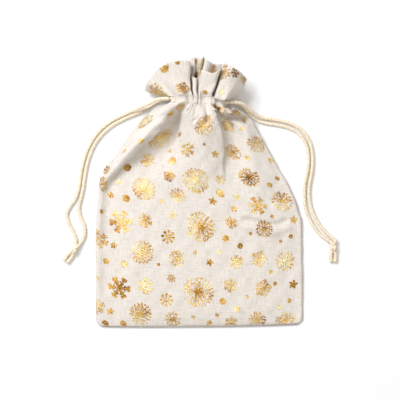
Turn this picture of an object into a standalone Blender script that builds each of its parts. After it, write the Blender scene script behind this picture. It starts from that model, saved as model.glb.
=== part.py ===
"""A drawstring gift sack of light cloth, lying on its back with its neck drawn closed.

Frame: metres, +Z up. The sack lies along Y with its mouth towards +Y and its width along X.
The origin is the centre of the sack's footprint, on the surface that it lies on.

Two cords run through the gathered channel at the neck. Each goes in and out at one side and
turns back in a bight at the other side, so that pulling its two tails draws the neck together.
"""

import math

import bpy
from mathutils import Vector

MM = 0.001

# Driving dimensions of the sack
SACK_WIDTH = 130 * MM
SACK_REACH = 167.4 * MM  # bottom edge to frill edge, gathered and lying down
CLOTH = 0.8 * MM
GAP = 0.3 * MM  # between two pieces that touch
BELLY_HEIGHT = 8 * MM
SHOULDER_HEIGHT = 13.5 * MM
CORNER_RADIUS = 4 * MM
BOTTOM_ROUND = 14 * MM  # how far up from the bottom edge the front panel rounds over
BOTTOM_ROUND_ROWS = 5
BODY_ROWS = 15
BODY_COLUMNS = 24
SHOULDER_START_Y = 0 * MM  # from here the front panel rises to the neck
SHOULDER_END_Y = 48 * MM
PLEAT_START_Y = 5 * MM
SHOULDER_PLEAT = 1.2 * MM

BOTTOM_Y = -SACK_REACH / 2
TOP_Y = SACK_REACH / 2
HALF_WIDTH = SACK_WIDTH / 2

# The turned-in seam allowances and the tacks at their ends
SEAM_THICKNESS = 1.2 * MM
SEAM_INSET = 3.2 * MM  # from the outer edge to the allowance
SEAM_WIDTH = 5 * MM
SIDE_SEAM_LOW_Y = -73.5 * MM
SIDE_SEAM_HIGH_Y = 44 * MM
BOTTOM_SEAM_HALF = 56 * MM
TACK_Y = 46.5 * MM
TACK_SIZE = 3.2 * MM

# The gathered neck: two channels, one on each side of the passage into the sack
NECK_Y = 56.6 * MM
CHANNEL_HALF = 4.5 * MM
CHANNEL_LENGTH = 37 * MM
FRONT_CORD_Z = 13 * MM
BACK_CORD_Z = 4.2 * MM
PLEATS = 9
FRONT_RUCHE = 2.4 * MM
BACK_RUCHE = 1.8 * MM
CHANNEL_WALL = 2.1 * MM
CORD_BORE = (2.6 * MM, 1.4 * MM)  # half width along Y and half height
STITCH_INSET = 0.8 * MM
STITCH_END_INSET = 0.5 * MM
THREAD_RADIUS = 0.25 * MM

# The frill above the neck
FRILL_BASE_Y = NECK_Y + CHANNEL_HALF + 1.3 * MM
FRILL_CLOTH = 1 * MM
FRILL_FAN = math.radians(76)
FRILL_SIDE_REACH = 17.5 * MM
FRILL_WAVES = 9
FRILL_COLUMNS = 36
FRILL_ROWS = 5

# The cords
CORD_RADIUS = 1.1 * MM
CORD_PITCH = 2.4 * MM
PULL = 3 * MM  # how far a drawstring slides before its bight reaches the channel
BIGHT_STRAIGHT = PULL + 0.2 * MM
LEFT_CORD_Y = NECK_Y + CORD_PITCH / 2
RIGHT_CORD_Y = NECK_Y - CORD_PITCH / 2
TAIL_STEP = 5.5 * MM
KNOT_SIZE = Vector((6.2, 5.2, 4.6)) * MM

# Where the cloth's left and right edges lie, from the neck down to the bottom: x, y in mm
LEFT_EDGE = [
    (-24, 52.5), (-30, 49.5), (-41, 39), (-51.5, 24.5), (-59.5, 13.5), (-63.4, 2), (-65, -25), (-65, -84),
]
RIGHT_EDGE = [
    (22, 52.5), (27.4, 47.6), (32.6, 42.6), (41.5, 27.6), (50.3, 13.2), (58, -1), (62.6, -13), (65, -40),
    (65, -84),
]

# Each tail's route in mm, from its exit to its knot. A front tail leaves the upper channel.
TAIL_ROUTES = {
    "left_tail_front": [
        (-18.8, 57.8, 13.0), (-22.5, 57.8, 13.0), (-26.5, 57.2, 12.2), (-32.0, 54.7, 8.2), (-38.0, 52.1, 4.4),
        (-44.5, 49.6, 2.0), (-50.5, 46.8, 1.1), (-56.3, 43.6, 1.1), (-61.8, 39.2, 1.1), (-66.2, 33.9, 1.1),
        (-69.7, 27.8, 1.1), (-72.2, 21.4, 1.1), (-73.9, 14.8, 1.1), (-75.0, 8.0, 1.1), (-76.0, 1.5, 1.1),
        (-78.0, -4.6, 1.1), (-81.4, -9.6, 1.1), (-83.4, -14.6, 1.1), (-81.8, -20.4, 1.1), (-79.3, -25.2, 1.1),
        (-77.9, -29.2, 1.2), (-77.6, -32.4, 1.9),
    ],
    "left_tail_back": [
        (-18.8, 57.8, 4.2), (-20.8, 57.8, 4.1), (-24.2, 57.4, 2.6), (-28.6, 55.2, 1.3), (-33.5, 52.0, 1.1),
        (-38.5, 49.3, 1.1), (-44.0, 47.0, 1.1), (-49.6, 44.4, 1.1), (-55.0, 41.3, 1.1), (-60.1, 37.1, 1.1),
        (-64.2, 32.2, 1.1), (-67.4, 26.6, 1.1), (-69.7, 20.5, 1.1), (-71.3, 14.2, 1.1), (-72.3, 7.8, 1.1),
        (-73.2, 1.6, 1.1), (-74.6, -4.6, 1.1), (-75.8, -10.6, 1.1), (-74.6, -16.3, 1.1), (-72.3, -21.8, 1.1),
        (-72.2, -27.0, 1.1), (-73.7, -31.0, 1.3), (-75.6, -33.6, 2.2),
    ],
    "right_tail_front": [
        (18.8, 55.4, 13.0), (22.5, 55.4, 13.0), (26.2, 54.6, 11.6), (30.3, 51.9, 8.4), (34.3, 48.6, 5.2),
        (38.8, 46.3, 2.6), (44.6, 45.4, 1.3), (51.0, 44.3, 1.1), (57.2, 42.6, 1.1), (62.6, 39.8, 1.1),
        (66.7, 35.6, 1.1), (69.4, 30.2, 1.1), (70.7, 24.0, 1.1), (70.9, 17.6, 1.1), (70.2, 11.0, 1.1),
        (69.0, 4.6, 1.1), (68.6, -2.2, 1.1), (69.6, -9.0, 1.1), (72.0, -15.4, 1.1), (75.2, -21.0, 1.1),
        (78.9, -25.4, 1.1), (82.3, -28.2, 1.3), (84.4, -30.2, 2.0),
    ],
    "right_tail_back": [
        (18.8, 55.4, 4.2), (21.0, 55.4, 4.1), (24.8, 54.6, 2.6), (28.8, 51.4, 1.3), (32.4, 47.6, 1.1),
        (36.6, 44.4, 1.1), (42.0, 42.8, 1.1), (48.4, 41.8, 1.1), (54.8, 40.3, 1.1), (60.3, 37.8, 1.1),
        (64.3, 33.9, 1.1), (67.0, 28.9, 1.1), (68.2, 23.0, 1.1), (68.2, 16.8, 1.1), (67.2, 10.6, 1.1),
        (65.9, 4.4, 1.1), (65.7, -2.4, 1.1), (66.2, -9.2, 1.1), (68.6, -16.2, 1.1), (72.0, -22.4, 1.1),
        (75.8, -27.2, 1.1), (79.3, -29.8, 1.3), (81.6, -31.3, 2.2),
    ],
}

# Each knot's centre, and the direction that the cut ends leave it in
KNOTS = {
    "left": (Vector((-78.3, -36.4, 2.35)) * MM, math.radians(232)),
    "right": (Vector((84.0, -34.6, 2.35)) * MM, math.radians(268)),
}
CUT_END_LENGTH = 6.5 * MM
CUT_END_SPREAD = 1.3 * MM
CUT_END_FLARE = 0.04  # how much wider than the cord a cut end is at its tip


def clear_scene():
    for obj in list(bpy.data.objects):
        bpy.data.objects.remove(obj)


def make_material(name, colour, roughness):
    material = bpy.data.materials.new(name)
    material.use_nodes = True
    shader = material.node_tree.nodes["Principled BSDF"]
    shader.inputs["Base Color"].default_value = (*colour, 1)
    shader.inputs["Roughness"].default_value = roughness
    shader.inputs["Metallic"].default_value = 0
    return material


def add_mesh(name, points, faces, material):
    mesh = bpy.data.meshes.new(name)
    mesh.from_pydata([tuple(point) for point in points], [], faces)
    mesh.materials.append(material)
    mesh.shade_smooth()
    mesh.set_sharp_from_angle(angle=math.radians(50))
    obj = bpy.data.objects.new(name, mesh)
    bpy.context.scene.collection.objects.link(obj)
    return obj


def thick_sheet(name, outside, inside, material):
    """A closed sheet between two grids of points. Seen from outside, rows run up and columns run right."""
    rows, columns = len(outside), len(outside[0])
    points = [point for grid in (outside, inside) for row in grid for point in row]

    def at(side, row, column):
        return side * rows * columns + row * columns + column

    faces = []
    for row in range(rows - 1):
        for column in range(columns - 1):
            for side in (0, 1):
                corners = [at(side, row, column), at(side, row, column + 1)]
                corners += [at(side, row + 1, column + 1), at(side, row + 1, column)]
                faces.append(corners if side == 0 else corners[::-1])
    rim = [(0, column) for column in range(columns)]
    rim += [(row, columns - 1) for row in range(1, rows)]
    rim += [(rows - 1, column) for column in range(columns - 2, -1, -1)]
    rim += [(row, 0) for row in range(rows - 2, 0, -1)]
    for here, there in zip(rim, rim[1:] + rim[:1]):
        faces.append([at(0, *there), at(0, *here), at(1, *here), at(1, *there)])
    return add_mesh(name, points, faces, material)


def bored_loft(name, outer_rings, bore_rings, material):
    """A closed tube through rings of points along +X. Rings run anticlockwise seen from +X."""
    stations, outer, bore = len(outer_rings), len(outer_rings[0]), len(bore_rings[0])
    points = [point for ring in outer_rings for point in ring]
    points += [point for ring in bore_rings for point in ring]
    first_bore = stations * outer
    faces = []
    for count, first, turned in ((outer, 0, False), (bore, first_bore, True)):
        for station in range(stations - 1):
            for k in range(count):
                near = first + station * count
                far = near + count
                corners = [near + k, near + (k + 1) % count, far + (k + 1) % count, far + k]
                faces.append(corners[::-1] if turned else corners)
    last = stations - 1
    for k in range(outer):
        nearest = round(k * bore / outer) % bore
        following = round((k + 1) * bore / outer) % bore
        for station, turned in ((0, True), (last, False)):
            ring, hole = station * outer, first_bore + station * bore
            corners = [ring + k, ring + (k + 1) % outer, hole + following]
            if nearest != following:
                corners.append(hole + nearest)
            faces.append(corners[::-1] if turned else corners)
    return add_mesh(name, points, faces, material)


def smooth_path(route, step):
    """Points about a step apart on a Catmull-Rom curve through the route, both ends included."""
    ends = [route[0] * 2 - route[1], *route, route[-1] * 2 - route[-2]]
    fine = []
    for a, b, c, d in zip(ends, ends[1:], ends[2:], ends[3:]):
        for k in range(12):
            t = k / 12
            square = (2 * a - 5 * b + 4 * c - d) * t**2
            cube = (3 * b - a - 3 * c + d) * t**3
            fine.append(0.5 * (2 * b + (c - a) * t + square + cube))
    fine.append(route[-1])
    lengths = [0.0]
    for here, there in zip(fine, fine[1:]):
        lengths.append(lengths[-1] + (there - here).length)
    count = max(2, round(lengths[-1] / step))
    spaced = []
    k = 0
    for n in range(count + 1):
        wanted = lengths[-1] * n / count
        while k < len(fine) - 2 and lengths[k + 1] < wanted:
            k += 1
        share = (wanted - lengths[k]) / (lengths[k + 1] - lengths[k])
        spaced.append(fine[k].lerp(fine[k + 1], share))
    return spaced


def add_cord(name, path, radius, material, sides=2, flare=0):
    """A round cord along a path, wider at its far end by the flare's share of its radius."""
    curve = bpy.data.curves.new(name, "CURVE")
    curve.dimensions = "3D"
    curve.bevel_depth = radius
    curve.bevel_resolution = sides
    curve.use_fill_caps = True
    spline = curve.splines.new("POLY")
    spline.points.add(len(path) - 1)
    for k, point in enumerate(path):
        spline.points[k].co = (*point, 1)
        spline.points[k].radius = 1 + flare * (k / (len(path) - 1)) ** 2
    curve.materials.append(material)
    obj = bpy.data.objects.new(name, curve)
    bpy.context.scene.collection.objects.link(obj)
    return obj


def edge_at(edge, y):
    """The edge's x at this y, on a smooth curve through its points."""
    points = [(x * MM, v * MM) for x, v in edge]
    y = min(max(y, points[-1][1]), points[0][1])
    k = next(k for k in range(len(points) - 1) if points[k + 1][1] <= y)

    def slope(n):
        low, high = points[max(n - 1, 0)], points[min(n + 1, len(points) - 1)]
        return (high[0] - low[0]) / (high[1] - low[1])

    (x0, y0), (x1, y1) = points[k], points[k + 1]
    span = y1 - y0
    t = (y - y0) / span
    start = (1 + 2 * t) * (1 - t) ** 2 * x0 + t * (1 - t) ** 2 * span * slope(k)
    return start + t * t * (3 - 2 * t) * x1 + t * t * (t - 1) * span * slope(k + 1)


def corner_inset(y):
    """How far the rounded bottom corners draw the edges in."""
    short = BOTTOM_Y + CORNER_RADIUS - y
    if short <= 0:
        return 0
    return CORNER_RADIUS - math.sqrt(max(0, CORNER_RADIUS**2 - short**2))


def side_limits(y, inset=0):
    left = max(edge_at(LEFT_EDGE, y), -HALF_WIDTH) + corner_inset(y) + inset
    right = min(edge_at(RIGHT_EDGE, y), HALF_WIDTH) - corner_inset(y) - inset
    return left, right


def smooth_step(low, high, value):
    t = min(max((value - low) / (high - low), 0), 1)
    return t * t * (3 - 2 * t)


def body_rows():
    """The y of each row of the sack's body, closer together where the bottom edge rounds over."""
    quarter = math.pi / 2 / BOTTOM_ROUND_ROWS
    low = [BOTTOM_Y + BOTTOM_ROUND * (1 - math.cos(quarter * k)) for k in range(BOTTOM_ROUND_ROWS)]
    start = BOTTOM_Y + BOTTOM_ROUND
    top = NECK_Y - CHANNEL_HALF - GAP
    return low + [start + (top - start) * k / (BODY_ROWS - 1) for k in range(BODY_ROWS)]


def front_surface(y, inset):
    """One row of the front panel's surface, over the belly and up to the shoulders."""
    left, right = side_limits(y, inset)
    middle, half = (left + right) / 2, (right - left) / 2
    shoulder = smooth_step(SHOULDER_START_Y, SHOULDER_END_Y, y)
    height = BELLY_HEIGHT + (SHOULDER_HEIGHT - BELLY_HEIGHT) * shoulder
    short = min(max((BOTTOM_Y + BOTTOM_ROUND - y) / BOTTOM_ROUND, 0), 1)
    height = max(0, height * math.sqrt(1 - short**2) - inset * (short < 1))
    pleat = SHOULDER_PLEAT * smooth_step(PLEAT_START_Y, SHOULDER_END_Y, y)
    row = []
    for k in range(BODY_COLUMNS + 1):
        angle = math.pi * (k / BODY_COLUMNS - 0.5)
        across = math.copysign(math.sqrt(abs(math.sin(angle))), math.sin(angle))
        rise = max(0, math.cos(angle))
        ripple = pleat * math.cos(7 * math.pi * across) * rise
        floor = CLOTH + GAP
        row.append(Vector((middle + half * across, y, floor + height * rise + ripple)))
    return row


def build_panels(linen):
    rows = body_rows()
    outside = [front_surface(y, 0) for y in rows]
    inside = [front_surface(y, CLOTH) for y in rows]
    for point in inside[0]:
        point.y += CLOTH
    thick_sheet("front_panel", outside, inside, linen)

    levels = []
    for z in (CLOTH, 0):
        levels.append([])
        for y in rows:
            left, right = side_limits(y)
            row = [Vector((left + (right - left) * k / 4, y, z)) for k in range(5)]
            levels[-1].append(row)
    thick_sheet("back_panel", *levels, linen)


def build_seams(linen, thread):
    """The turned-in seam allowances, which lie inside on the back panel, and their end tacks."""
    low, high = CLOTH + GAP, CLOTH + GAP + SEAM_THICKNESS
    near, far = SEAM_INSET, SEAM_INSET + SEAM_WIDTH
    for name, side in (("left_side_seam", 0), ("right_side_seam", 1)):
        sign = 1 if side == 0 else -1
        levels = []
        for z in (high, low):
            levels.append([])
            for k in range(13):
                y = SIDE_SEAM_LOW_Y + (SIDE_SEAM_HIGH_Y - SIDE_SEAM_LOW_Y) * k / 12
                edge = side_limits(y)[side]
                row = [Vector((edge + sign * near, y, z)), Vector((edge + sign * far, y, z))]
                levels[-1].append(row if side == 0 else row[::-1])
        thick_sheet(name, *levels, linen)
        middle = side_limits(TACK_Y)[side] + sign * (near + far) / 2
        half = TACK_SIZE / 2
        tack = [
            [[Vector((middle + dx, TACK_Y + dy, z)) for dx in (-half, 0, half)] for dy in (-half, half)]
            for z in (high, low)
        ]
        thick_sheet(name.replace("side_seam", "exit_tack"), *tack, thread)
    levels = [
        [[Vector((BOTTOM_SEAM_HALF * (k / 4 - 1), BOTTOM_Y + y, z)) for k in range(9)] for y in (near, far)]
        for z in (high, low)
    ]
    thick_sheet("bottom_seam", *levels, linen)


def pleat_wave(x):
    return 0.5 + 0.5 * math.cos(2 * math.pi * PLEATS * x / CHANNEL_LENGTH)


def rounded_ring(x, z, half_y, above, below, power, count):
    ring = []
    for k in range(count):
        angle = 2 * math.pi * k / count
        rise = math.sin(angle)
        height = (above if rise > 0 else below) * math.copysign(abs(rise) ** power, rise)
        ring.append(Vector((x, NECK_Y + half_y * math.cos(angle), z + height)))
    return ring


def build_channels(linen, thread):
    """The two halves of the gathered channel, each with its bore for the cords and its stitch rows."""
    stations = 4 * PLEATS
    bore_y, bore_z = CORD_BORE
    sides = (
        ("front", FRONT_CORD_Z, FRONT_RUCHE, 1),
        ("back", BACK_CORD_Z, BACK_RUCHE, -1),
    )
    for name, z, ruche, out in sides:
        outer, bore = [], []
        for k in range(stations + 1):
            x = CHANNEL_LENGTH * (k / stations - 0.5)
            bulge = CHANNEL_WALL + ruche * pleat_wave(x)
            above, below = (bulge, CHANNEL_WALL) if out > 0 else (CHANNEL_WALL, bulge)
            outer.append(rounded_ring(x, z, CHANNEL_HALF, above, below, 0.8, 12))
            bore.append(rounded_ring(x, z, bore_y, bore_z, bore_z, 0.6, 8))
        bored_loft(f"{name}_channel", outer, bore, linen)
        for row, sign in (("lower", -1), ("upper", 1)):
            path = []
            for k in range(2 * PLEATS + 1):
                x = (CHANNEL_LENGTH - 2 * STITCH_END_INSET) * (k / (2 * PLEATS) - 0.5)
                rise = CHANNEL_WALL + ruche * pleat_wave(x)
                share = 1 - STITCH_INSET / CHANNEL_HALF
                surface = rise * math.sqrt(1 - share**2) ** 0.8
                y = NECK_Y + sign * (CHANNEL_HALF - STITCH_INSET)
                path.append(Vector((x, y, z + out * (surface + GAP + THREAD_RADIUS))))
            add_cord(f"{name}_channel_{row}_stitching", path, THREAD_RADIUS, thread, sides=1)


def frill_point(t, share, z_base, z_side, z_middle, ripple):
    """A point of the frill, t across from -1 to 1 and a share of the way from its base to its edge."""
    base = CHANNEL_LENGTH / 2 - 0.2 * MM
    reach = (TOP_Y - FRILL_BASE_Y) + (FRILL_SIDE_REACH - (TOP_Y - FRILL_BASE_Y)) * t * t
    angle = FRILL_FAN * t * (0.55 + 0.45 * share)
    x = base * t + reach * share * math.sin(angle)
    y = FRILL_BASE_Y + reach * share * math.cos(angle)
    tip = z_side + (z_middle - z_side) * math.sqrt(1 - t * t)
    wave = ripple * (0.35 + 0.65 * share) * math.cos(FRILL_WAVES * math.pi * t) * (1 - t**4)
    z = z_base + (tip - z_base) * smooth_step(0, 1, share) + wave
    return Vector((x, y, z))


def build_frills(linen):
    sides = (
        ("front_frill", FRONT_CORD_Z, 8.95 * MM, 16.4 * MM, 1.0 * MM),
        ("back_frill", BACK_CORD_Z, 7.5 * MM, 1.2 * MM, 0.4 * MM),
    )
    for name, z_base, z_side, z_middle, ripple in sides:
        grids = []
        for offset in (FRILL_CLOTH / 2, -FRILL_CLOTH / 2):
            grids.append([
                [
                    frill_point(2 * k / FRILL_COLUMNS - 1, row / FRILL_ROWS, z_base, z_side, z_middle, ripple)
                    + Vector((0, 0, offset))
                    for k in range(FRILL_COLUMNS + 1)
                ]
                for row in range(FRILL_ROWS + 1)
            ])
        thick_sheet(name, *grids, linen)


def build_drawstrings(cotton):
    """Each cord: the stretch held in both channels with its bight, its two tails, knot and cut ends."""
    mouth = CHANNEL_LENGTH / 2
    bight = (FRONT_CORD_Z - BACK_CORD_Z) / 2
    for side, out, y in (("left", -1, LEFT_CORD_Y), ("right", 1, RIGHT_CORD_Y)):
        turn = -out * (mouth + BIGHT_STRAIGHT)
        start = out * mouth
        loop = [Vector((start + (turn - start) * k / 8, y, FRONT_CORD_Z)) for k in range(9)]
        for k in range(1, 8):
            angle = math.pi * k / 8
            middle_z = (FRONT_CORD_Z + BACK_CORD_Z) / 2
            loop.append(Vector((turn - out * bight * math.sin(angle), y, middle_z + bight * math.cos(angle))))
        loop += [Vector((turn + (start - turn) * k / 8, y, BACK_CORD_Z)) for k in range(9)]
        add_cord(f"{side}_drawstring_loop", loop, CORD_RADIUS, cotton)

        for end in ("front", "back"):
            name = f"{side}_tail_{end}"
            route = [Vector(point) * MM for point in TAIL_ROUTES[name]]
            add_cord(name, smooth_path(route, TAIL_STEP), CORD_RADIUS, cotton)

        centre, heading = KNOTS[side]
        build_knot(f"{side}_knot", centre, heading, cotton)
        along = Vector((math.cos(heading), math.sin(heading), 0))
        beside = Vector((-along.y, along.x, 0))
        for end, sign in (("a", 1), ("b", -1)):
            start_point = centre + along * (KNOT_SIZE.x / 2 + GAP) + beside * sign * CUT_END_SPREAD
            start_point.z = CORD_RADIUS * 1.3
            tip = start_point + along * CUT_END_LENGTH + beside * sign * 0.5 * MM
            tip.z = CORD_RADIUS
            path = [start_point.lerp(tip, k / 4) for k in range(5)]
            add_cord(f"{side}_cut_end_{end}", path, CORD_RADIUS, cotton, flare=CUT_END_FLARE)


def build_knot(name, centre, heading, material):
    """An overhand knot as one lump, waisted where its outer turn crosses it."""
    rings, segments = 8, 12
    points, faces = [], []
    along = Vector((math.cos(heading), math.sin(heading), 0))
    beside = Vector((-along.y, along.x, 0))
    for ring in range(1, rings):
        polar = math.pi * ring / rings
        waist = 1 - 0.08 * math.cos(4 * polar)
        for segment in range(segments):
            angle = 2 * math.pi * segment / segments
            wide = KNOT_SIZE.y / 2 * math.sin(polar) * waist * math.cos(angle)
            tall = KNOT_SIZE.z / 2 * math.sin(polar) * waist * math.sin(angle)
            length = -KNOT_SIZE.x / 2 * math.cos(polar)
            points.append(centre + along * length + beside * wide + Vector((0, 0, tall)))
    first, last = len(points), len(points) + 1
    points += [centre - along * KNOT_SIZE.x / 2, centre + along * KNOT_SIZE.x / 2]
    for segment in range(segments):
        following = (segment + 1) % segments
        faces.append([first, following, segment])
        for ring in range(rings - 2):
            near, far = ring * segments, (ring + 1) * segments
            faces.append([near + segment, near + following, far + following, far + segment])
        end = (rings - 2) * segments
        faces.append([last, end + segment, end + following])
    return add_mesh(name, points, faces, material)


def build_sack():
    linen = make_material("linen_cloth", (0.82, 0.78, 0.74), 0.9)
    cotton = make_material("cotton_cord", (0.92, 0.86, 0.74), 0.85)
    thread = make_material("sewing_thread", (0.88, 0.85, 0.8), 0.7)
    build_panels(linen)
    build_seams(linen, thread)
    build_channels(linen, thread)
    build_frills(linen)
    build_drawstrings(cotton)


clear_scene()
build_sack()
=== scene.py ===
"""The looks of a drawstring gift sack: gathered cloth with a gold foil print, twisted cords and knots.

The cloth is one ring-shaped grid of points. Its rows run up the sack and its columns run round it,
across the front from left to right and back across the back. A point's v is its height up the flat
cloth, and its u is its share of the way across it. Lengths are in millimetres, in the frame's own
axes, until a mesh is made, except where a comment says metres.
"""

import math

import bmesh
import bpy
import numpy as np
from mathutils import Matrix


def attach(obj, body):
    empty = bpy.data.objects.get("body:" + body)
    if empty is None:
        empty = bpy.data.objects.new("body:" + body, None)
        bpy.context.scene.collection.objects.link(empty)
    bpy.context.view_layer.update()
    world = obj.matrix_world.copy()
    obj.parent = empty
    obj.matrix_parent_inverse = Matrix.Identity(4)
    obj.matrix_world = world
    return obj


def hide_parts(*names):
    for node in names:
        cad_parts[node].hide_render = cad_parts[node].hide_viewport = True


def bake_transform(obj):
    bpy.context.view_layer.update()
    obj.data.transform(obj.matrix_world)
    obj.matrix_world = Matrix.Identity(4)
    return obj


MM = 0.001
CURVE_STEPS = 16  # from each given point to the next

# The flat cloth
CUT_WIDTH = 130.0
CUT_HEIGHT = 180.0
ACROSS = 104  # cells across the front
AROUND = 2 * ACROSS
UP = 144
CELL_U = CUT_WIDTH / ACROSS
CELL_V = CUT_HEIGHT / UP
SHARE = np.arange(ACROSS + 1) / ACROSS
ROWS = np.arange(UP + 1) * CELL_V
CLOTH_THICKNESS = 0.45
ALLOWANCE_THICKNESS = 0.4
ALLOWANCE_TOP_V = 126.0
FLOOR_GAP = 0.3  # how far the middle of the lowest cloth is above the floor
LAYER_GAP = 0.55  # how far the front stays above the back

# The channel that the cords run in
CHANNEL_V = 153.0
CHANNEL_HALF = 2.75
CHANNEL_Y = 56.6
CHANNEL_STRETCH = 0.88
CHANNEL_TILT = 0.8
FRONT_WALL_Z = 14.75
BACK_WALL_Z = 1.75
SEAM_Z = 8.6
NECK_HALF = 18.8
NECK_V = CHANNEL_V - CHANNEL_HALF
NECK_Y = CHANNEL_Y - CHANNEL_HALF * CHANNEL_STRETCH
HEADER_V = CHANNEL_V + CHANNEL_HALF
FRONT_FADE = 4.8  # how far below the channel its own folds reach
BACK_FADE = 7.0
GATHERS = 11
BACK_PHASE = 0.9
FRONT_GATHER_Z = 1.7
GATHER_PINCH = 0.8
BACK_GATHER_Z = 1.15
GATHER_SWAY = 0.45

# The body below it
BOTTOM_Y = -85.0
BOTTOM_SLOPE = 0.009
SLOPE_END_V = 80.0
BOTTOM_Z = 0.8
BOTTOM_ROLL = 13.0
CORNER_RADIUS = 4.0
CORNER_INSET = 0.7
BACK_Z = 0.5
FLAT_V = 96.0  # up to here a row's y goes by FLAT_STRETCH, and above it by the neck's place
FLAT_STRETCH = 0.985
BACK_PLEATS_V = 100.0  # from here up the back has pleats
BACK_PULL_V = 112.0  # from here up the gathers pull on the back's columns
FRONT_PULL_V = 125.0

# The frill above it
FRILL_STEPS = (0.0, 0.22, 0.55, 1.0)  # the channel, root, middle and rim, up the frill
BACK_PLEAT = 2.9
BACK_VALLEYS = (0.345, 0.62)
BACK_VALLEY_WIDTH = 0.03
FRONT_VALLEY_WIDTH = 0.05

# How the cloth settles
SETTLE_STEPS = 90
SPARE_LENGTH = 0.05
MOST_STRETCH = 1.25
SEAM_HOLD = 0.35  # the share of its way that a point goes back to its first place in each step
NEAR_SEAM_HOLD = 0.12
BOTTOM_HOLD = 0.25
FRILL_HOLD = 0.16
BODY_HOLD = 0.05
SHOULDER_HOLD = 0.03
TOP_SPEED = 0.35
SLOWING = 0.9
SINKING = 0.004

# Cords
CORD_DIAMETER = 2.2
CORD_SIDES = 18
PLIES = 3
PLY_PITCH = 7.0
CORD_Y = {"left": 57.8, "right": 55.4}
FRONT_CORD_Z = 13.0
BACK_CORD_Z = 4.2
BIGHT_X = 14.4  # where each cord turns back inside the channel
HELD_X = 18.6  # where the cord inside the channel starts
STRAND_STEP = 0.45  # from one ring of points to the next
KNOT_RADIUS = 1.04
KNOT_LENGTH_SCALE = 0.84
KNOT_WIDTH_SCALE = 0.40
KNOT_HEIGHT_SCALE = 1.05
CUT_END_LENGTH = 8.5  # counted from inside the knot
CUT_END_START_Z = 1.9
CUT_END_BEND_Z = 1.3
CUT_END_TIP_Z = 1.25
CUT_END_FLARE = 0.22

# The outline of the cloth from the neck down: x, y
LEFT_EDGE = [
    (-19.5, 55.5), (-30, 50.1), (-42, 38.6), (-51.6, 24.3),
    (-60, 13.5), (-63.1, 2.6), (-64.9, -23.8), (-65, -83.7),
]
RIGHT_EDGE = [
    (18.5, 55.5), (28.9, 48.3), (33.6, 43.4), (42, 27.9), (50.5, 13.5),
    (58.2, -1), (62.4, -12.9), (64.4, -25), (65, -83.7),
]

# The front below the neck, as cross-sections: y, then x and z from the left edge to the right.
# The points are the left edge, the left ridge, its lip, the tuck under it, the valley, the tongue's
# left side, crest and right lip, the tuck under that, the right field's foot and crest, and the right edge.
SECTIONS = [
    (54, (-19.5, 8.6), (-16, 17.5), (-11.2, 16.5), (-11.8, 11), (-9.4, 8), (-8, 16), (0.5, 18.5),
     (7, 16.5), (6.8, 11.5), (7.9, 10.5), (10.6, 18.5), (19, 8.6)),
    (51, (-26, 7), (-19.5, 19.5), (-13.2, 18), (-14, 12.5), (-10.5, 6.2), (-8.6, 16), (0, 19.5),
     (8.4, 17.5), (8.2, 11), (9.7, 8.5), (12.8, 19.2), (25, 6.5)),
    (48, (-32.2, 5.5), (-23, 20), (-15.6, 17.5), (-16.4, 13), (-11.7, 4.8), (-9.4, 15), (0, 20),
     (9.8, 17.5), (9.6, 10.5), (12.7, 7), (16.2, 18.6), (29.2, 5)),
    (46.4, (-34.5, 5), (-24.9, 20), (-17.1, 17.2), (-17.9, 12.8), (-12.6, 4.6), (-9.8, 14.2), (0.1, 20),
     (10.4, 17.3), (10.3, 10.6), (15.2, 5.4), (19.6, 8.5), (30.9, 4.7)),
    (42, (-38.8, 4), (-29, 19.4), (-20.8, 16.8), (-21.5, 12.5), (-13.8, 4.4), (-10.6, 12), (0.5, 19.5),
     (12, 16.6), (11.9, 10.6), (17.8, 4.8), (25.5, 9.4), (34.3, 4)),
    (36, (-43.8, 3.2), (-34.5, 18.2), (-26.2, 16), (-26.9, 12), (-16.4, 4.6), (-11.2, 10.6), (1.5, 18),
     (13.6, 15.4), (13.6, 10), (20.4, 4.8), (28.5, 9.4), (37.8, 3.2)),
    (30, (-47.9, 2.8), (-40, 16.5), (-32.6, 14.4), (-33.2, 11), (-20.2, 4.6), (-12, 9.4), (2, 16),
     (14.6, 13.4), (14.7, 9.6), (22.4, 5), (30.5, 9), (41, 2.8)),
    (24, (-51.8, 2.6), (-45.5, 13.8), (-39, 12), (-39.5, 9.6), (-25, 4.9), (-13.5, 8.4), (2.5, 14),
     (14.7, 11.4), (15, 8.4), (23.4, 5.4), (32, 8.6), (44.2, 2.6)),
    (16, (-58.2, 2.4), (-52.5, 10.8), (-47.4, 9.2), (-47.8, 7.4), (-31, 5.4), (-15.6, 8.2), (2.5, 11.8),
     (14.2, 9.8), (15.6, 7.4), (23.6, 6), (34, 8.3), (48.9, 2.4)),
    (8, (-61.5, 2.4), (-58.5, 8), (-54, 6), (-53, 4.6), (-38, 6), (-18, 8.2), (2, 9.8),
     (13.5, 8.6), (17, 7.3), (24.4, 6.8), (36, 7.8), (53.4, 2.2)),
    (0, (-63.5, 2.6), (-62, 6), (-58.6, 4.2), (-55, 3.6), (-40, 6.4), (-19, 7.6), (1, 8.4),
     (13, 8), (18, 7.6), (26, 7.4), (38, 7.2), (57.8, 2)),
    (-20, (-65, 2.4), (-63.6, 5.4), (-60, 3.6), (-56, 3.4), (-40, 6), (-20, 6.8), (0, 7),
     (13, 7), (20, 6.9), (28, 6.7), (42, 6), (63.6, 1.8)),
    (-55, (-65, 1.8), (-63.8, 4), (-60, 3), (-56, 3), (-40, 4.9), (-20, 5.3), (0, 5.4),
     (13, 5.4), (20, 5.3), (28, 5.2), (42, 4.7), (64.9, 1.5)),
    (-84, (-65, 1.2), (-63.5, 2.3), (-59.5, 2.3), (-55, 2.6), (-40, 3.3), (-20, 3.7), (0, 3.8),
     (13, 3.8), (20, 3.7), (28, 3.6), (42, 3.2), (65, 1.2)),
]
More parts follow.
